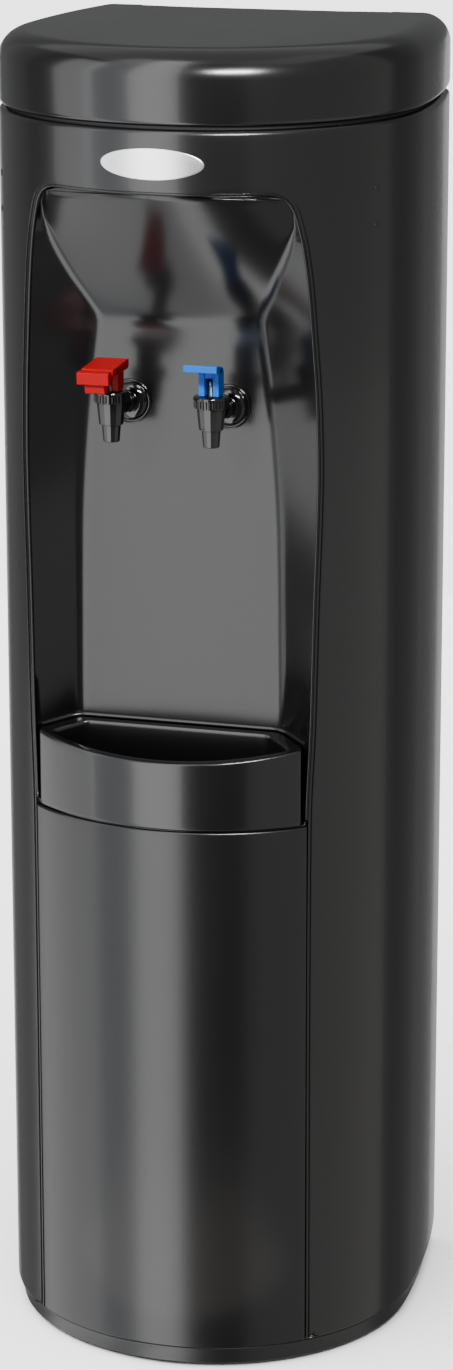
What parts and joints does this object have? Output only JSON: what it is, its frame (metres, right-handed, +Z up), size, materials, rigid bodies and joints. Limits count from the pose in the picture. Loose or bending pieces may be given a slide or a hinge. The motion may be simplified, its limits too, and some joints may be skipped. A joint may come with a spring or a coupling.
{
  "type": "point-of-use water cooler",
  "caption": "Slim free-standing water cooler with hot and cold lever taps in a front recess, a drip tray and a rear condenser.",
  "frame": {"origin": "centre of the bounding box on the floor, under the middle of the cabinet", "axes": "+Z up, +Y towards the rear, -Y the side with the taps, +X to the right seen from the front"},
  "size_m": [0.312, 0.311, 0.98],
  "materials": {
    "cabinet_black": "semi-gloss black moulded cabinet wrap",
    "panel_black": "semi-gloss black front panel",
    "cover_black": "semi-gloss black top",
    "recess_grey": "semi-gloss black dispensing recess",
    "tray_black": "gloss black drip tray",
    "base_plastic": "matt black moulding",
    "foot_rubber": "black rubber",
    "badge_metal": "brushed, bare",
    "plug_plastic": "matt dark plugs",
    "rear_sheet": "satin black sheet",
    "condenser_black": "satin black wire and tube",
    "screw_steel": "zinc plated",
    "frame_steel": "galvanised sheet",
    "tank_steel": "stainless",
    "white_foam": "expanded foam",
    "white_plastic": "white plastic",
    "float_plastic": "moulded float",
    "copper_tube": "drawn copper",
    "band_steel": "wound band heater",
    "compressor_black": "gloss black enamel",
    "silicone_tube": "milky silicone",
    "rocker_red": "red rocker",
    "knob_black": "matt black knob",
    "tap_black": "semi-gloss black tap",
    "stem_steel": "ground steel",
    "seat_silicone": "silicone seat",
    "spring_steel": "spring wire",
    "lever_red": "gloss red",
    "lever_blue": "gloss blue"
  },
  "bodies": {
    "cabinet": {"base_plinth": "base_plastic", "foot_pads": "foot_rubber", "body_shell": "cabinet_black", "recess_moulding": "recess_grey", "lower_front_panel": "panel_black", "top_cover": "cover_black", "badge_plate": "badge_metal", "side_plugs": "plug_plastic", "rear_panel": "rear_sheet", "condenser_tube": "condenser_black", "condenser_wires": "condenser_black", "cabinet_screws": "screw_steel", "frame_uprights": "frame_steel", "reservoir_shelf": "frame_steel", "hot_tank_shelf": "frame_steel", "cold_reservoir": "tank_steel", "reservoir_insulation": "white_foam", "reservoir_lid": "white_plastic", "float_valve": "white_plastic", "evaporator_coil": "copper_tube", "hot_tank": "tank_steel", "heater_band": "band_steel", "hot_tank_jacket": "white_foam", "compressor": "compressor_black", "compressor_grommets": "foot_rubber", "compressor_bolts": "screw_steel", "terminal_cover": "base_plastic", "suction_line": "copper_tube", "discharge_line": "copper_tube", "capillary_line": "copper_tube", "filter_drier": "copper_tube", "cold_water_tube": "silicone_tube", "hot_water_tube": "silicone_tube", "hot_feed_tube": "silicone_tube", "inlet_tube": "white_plastic", "inlet_fitting": "white_plastic", "power_inlet": "base_plastic", "switch_housing": "base_plastic", "cold_thermostat": "base_plastic", "escutcheons": "tap_black", "faucet_nuts": "screw_steel", "hot_faucet_body": "tap_black", "cold_faucet_body": "tap_black", "hot_bonnet": "tap_black", "cold_bonnet": "tap_black", "hot_spring": "spring_steel", "cold_spring": "spring_steel"},
    "drip_tray_body": {"drip_tray": "tray_black"},
    "cold_stem_body": {"cold_stem": "stem_steel", "cold_seat_cup": "seat_silicone", "cold_lever_pin": "stem_steel"},
    "hot_stem_body": {"hot_stem": "stem_steel", "hot_seat_cup": "seat_silicone", "hot_lever_pin": "stem_steel"},
    "cold_lever_body": {"cold_lever": "lever_blue"},
    "hot_lever_body": {"hot_lever": "lever_red"},
    "hot_latch_body": {"hot_safety_latch": "lever_red"},
    "float_body": {"float_arm": "float_plastic"},
    "hot_switch_body": {"hot_switch_rocker": "rocker_red"},
    "dial_body": {"thermostat_knob": "knob_black"}
  },
  "joints": [
    {"name": "drip_tray_slide", "type": "slide", "parent": "cabinet", "child": "drip_tray_body", "axis": [0, -1, 0], "range_m": [0, 0.07]},
    {"name": "cold_stem_slide", "type": "slide", "parent": "cabinet", "child": "cold_stem_body", "axis": [0, 0, 1], "range_m": [0, 0.00209], "stiffness_N_per_m": 600, "springref_m": -0.001, "deforming": ["cold_spring"]},
    {"name": "cold_lever_hinge", "type": "hinge", "parent": "cold_stem_body", "child": "cold_lever_body", "pos_m": [0.0369, -0.1135, 0.7461], "axis": [1, 0, 0], "range_deg": [0, 20]},
    {"name": "hot_stem_slide", "type": "slide", "parent": "cabinet", "child": "hot_stem_body", "axis": [0, 0, 1], "range_m": [0, 0.00209], "stiffness_N_per_m": 600, "springref_m": -0.001, "deforming": ["hot_spring"]},
    {"name": "hot_lever_hinge", "type": "hinge", "parent": "hot_stem_body", "child": "hot_lever_body", "pos_m": [-0.0369, -0.1135, 0.7461], "axis": [1, 0, 0], "range_deg": [0, 20]},
    {"name": "hot_latch_slide", "type": "slide", "parent": "hot_lever_body", "child": "hot_latch_body", "axis": [0, 1, 0], "range_m": [0, 0.004], "stiffness_N_per_m": 400, "springref_m": -0.003},
    {"name": "float_hinge", "type": "hinge", "parent": "cabinet", "child": "float_body", "pos_m": [0.028, 0.0295, 0.8768], "axis": [0, 1, 0], "range_deg": [0, 25]},
    {"name": "hot_switch_hinge", "type": "hinge", "parent": "cabinet", "child": "hot_switch_body", "pos_m": [0, 0.1232, 0.07], "axis": [-1, 0, 0], "range_deg": [0, 24]},
    {"name": "thermostat_hinge", "type": "hinge", "parent": "cabinet", "child": "dial_body", "pos_m": [-0.045, 0.1285, 0.07], "axis": [0, 1, 0], "range_deg": [0, 270]}
  ],
  "couplings": [
    {"joint": "cold_lever_hinge", "follows": "cold_stem_slide", "rad_per_m": 166.67},
    {"joint": "hot_lever_hinge", "follows": "hot_stem_slide", "rad_per_m": 166.67}
  ]
}
